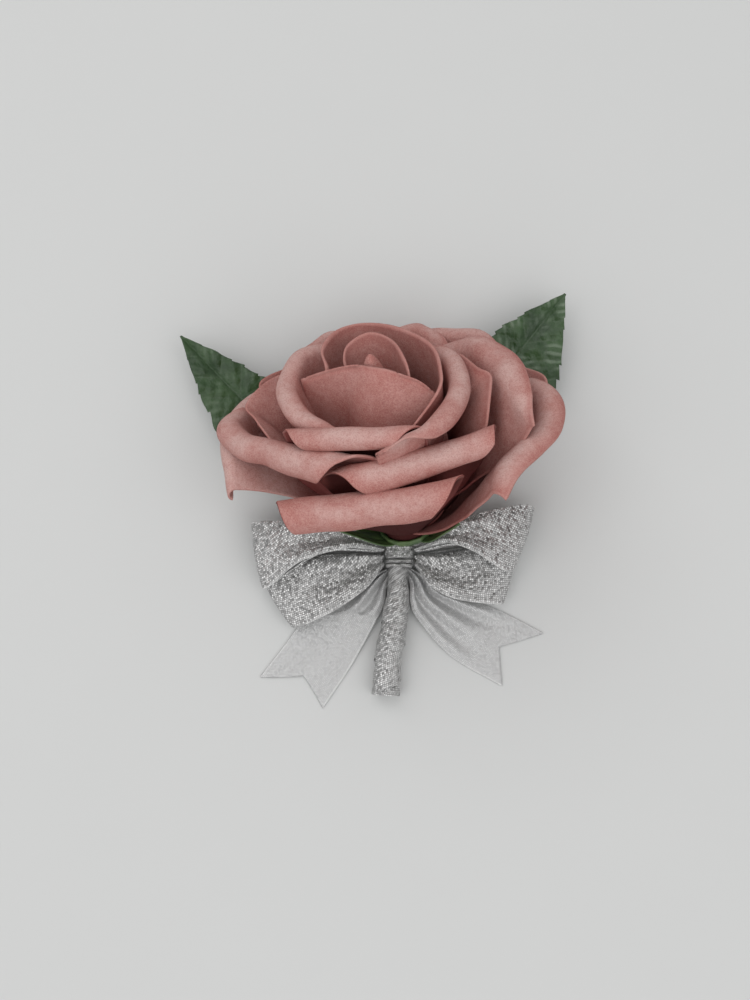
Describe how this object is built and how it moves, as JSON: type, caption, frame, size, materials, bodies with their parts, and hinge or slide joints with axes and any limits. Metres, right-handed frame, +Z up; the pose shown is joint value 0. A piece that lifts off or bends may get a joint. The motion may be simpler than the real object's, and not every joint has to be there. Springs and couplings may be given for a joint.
{
  "type": "boutonniere",
  "caption": "Artificial rose boutonniere lying on its back: dusty pink foam rose in layered petals with rolled rims, green calyx, serrated leaves, glitter-wound stem and silver ribbon bow.",
  "frame": {"origin": "bottom centre of the bounding box: the middle of its footprint, on the surface that the piece lies on", "axes": "+Z up from that surface; -Y towards the cut end of the stem, +Y towards the leaf tips; +X to the right, seen from above with the stem pointing down the view"},
  "size_m": [0.0924, 0.0985, 0.0565],
  "materials": {
    "foam_petals": "soft closed-cell craft foam, dusty pink with worn pale rims",
    "calyx_plastic": "moulded green plastic, semi-matt",
    "stem_wire_cover": "green plastic coat over steel wire",
    "glitter_ribbon": "silver metallic woven ribbon with fine glitter",
    "satin_ribbon": "smooth satin back of the silver ribbon",
    "leaf_fabric": "printed dark green fabric leaf with a waxed sheen"
  },
  "bodies": {
    "root": {"rose_bloom": "foam_petals", "calyx": "calyx_plastic", "stem_wire": "stem_wire_cover", "stem_wrap": "glitter_ribbon", "bow_knot": "glitter_ribbon", "bow_loop_upper_left": "glitter_ribbon", "bow_loop_lower_left": "glitter_ribbon", "bow_loop_upper_right": "glitter_ribbon", "bow_loop_lower_right": "glitter_ribbon", "bow_tail_left": "satin_ribbon", "bow_tail_right": "satin_ribbon", "leaf_left": "leaf_fabric", "leaf_right": "leaf_fabric"}
  },
  "joints": []
}
